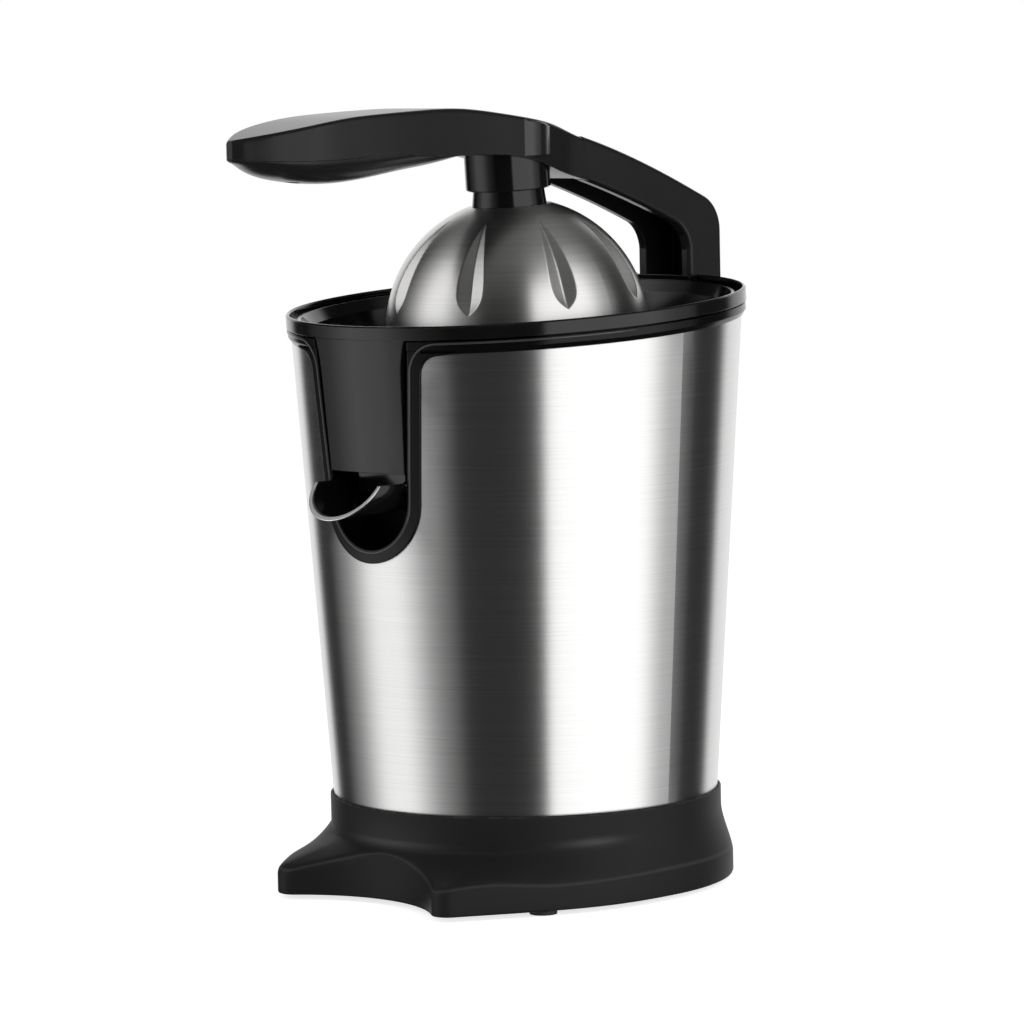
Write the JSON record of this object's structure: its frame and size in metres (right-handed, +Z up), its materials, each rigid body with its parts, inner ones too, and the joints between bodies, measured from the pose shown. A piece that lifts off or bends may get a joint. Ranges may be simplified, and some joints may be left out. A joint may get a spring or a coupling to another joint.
{
  "type": "electric juicer",
  "caption": "Upright electric citrus juicer with a steel body, leaning juice bowl, tip-up spout and a hinged lever arm that presses a fluted dome onto a turning reamer.",
  "frame": {"origin": "on the table under the middle of the part's outline", "axes": "+Z up, the spout and the handle face -Y, +X to the right seen from the front"},
  "size_m": [0.18, 0.2564, 0.3044],
  "materials": {
    "gloss_black": "high gloss",
    "arm_black": "semi-gloss",
    "base_black": "satin",
    "brushed_steel": "brushed",
    "bright_trim": "polished",
    "steel": "plain",
    "winding": "varnished",
    "nylon": "moulded",
    "bronze": "sintered",
    "rubber": "matt"
  },
  "bodies": {
    "body": {"base": "base_black", "bottom_plate": "base_black", "feet": "rubber", "base_screws": "steel", "cord_gland": "base_black", "housing_sleeve": "brushed_steel", "top_collar": "gloss_black", "hinge_bracket": "base_black", "hinge_backing": "steel", "bracket_screws": "steel", "chassis": "base_black", "juice_bowl": "gloss_black", "sieve": "brushed_steel", "shaft_bush": "bronze", "shaft_seal": "rubber", "drive_plate": "steel", "plate_spacers": "steel", "idler_axle": "steel", "motor_can": "steel", "motor_stator": "winding", "motor_cap": "steel", "motor_bearings": "bronze", "switch_body": "base_black", "switch_holder": "base_black", "return_spring": "steel"},
    "arm": {"lever_arm": "arm_black", "handle_belly": "arm_black", "handle_screws": "steel", "hinge_pin": "steel", "dome_socket": "gloss_black", "dome_spring": "steel"},
    "dome": {"press_dome": "brushed_steel", "dome_neck": "gloss_black", "dome_spindle": "steel", "dome_nut": "steel"},
    "tip_spout": {"spout": "gloss_black", "spout_lip": "bright_trim"},
    "thrust": {"thrust_pad": "base_black"},
    "drive": {"drive_shaft": "steel", "output_gear": "nylon", "reamer": "base_black"},
    "idler": {"idler_gear": "nylon"},
    "rotor": {"motor_rotor": "steel", "motor_pinion": "nylon"},
    "button": {"switch_button": "base_black"}
  },
  "joints": [
    {"name": "arm_pivot", "type": "hinge", "parent": "body", "child": "arm", "pos_m": [0, 0.11855, 0.226], "axis": [-1, 0, 0], "range_deg": [0, 75]},
    {"name": "dome_slide", "type": "slide", "parent": "arm", "child": "dome", "axis": [0, -0.061, 0.9981], "range_m": [0, 0.004], "stiffness_N_per_m": 800, "springref_m": -0.006, "deforming": ["dome_spring"]},
    {"name": "spout_tip", "type": "hinge", "parent": "body", "child": "tip_spout", "pos_m": [0, -0.05735, 0.1623], "axis": [-1, 0, 0], "range_deg": [0, 35]},
    {"name": "spindle_press", "type": "slide", "parent": "body", "child": "thrust", "axis": [0, 0.061, -0.9981], "range_m": [0, 0.0025], "stiffness_N_per_m": 2500, "springref_m": -0.004, "deforming": ["return_spring"]},
    {"name": "reamer_spin", "type": "hinge", "parent": "thrust", "child": "drive", "pos_m": [0, 0.02215, 0.2288], "axis": [0, -0.061, 0.9981], "continuous": true},
    {"name": "idler_spin", "type": "hinge", "parent": "body", "child": "idler", "pos_m": [0.036, 0.02215, 0.2288], "axis": [0, -0.061, 0.9981], "continuous": true},
    {"name": "rotor_spin", "type": "hinge", "parent": "body", "child": "rotor", "pos_m": [0.013, 0.00067, 0.22749], "axis": [0, -0.061, 0.9981], "continuous": true},
    {"name": "button_press", "type": "slide", "parent": "body", "child": "button", "axis": [0, 0.061, -0.9981], "range_m": [0, 0.0025]}
  ],
  "couplings": [
    {"joint": "idler_spin", "follows": "rotor_spin", "ratio": -0.3125},
    {"joint": "reamer_spin", "follows": "rotor_spin", "ratio": 0.082237},
    {"joint": "button_press", "follows": "spindle_press", "ratio": 1}
  ]
}
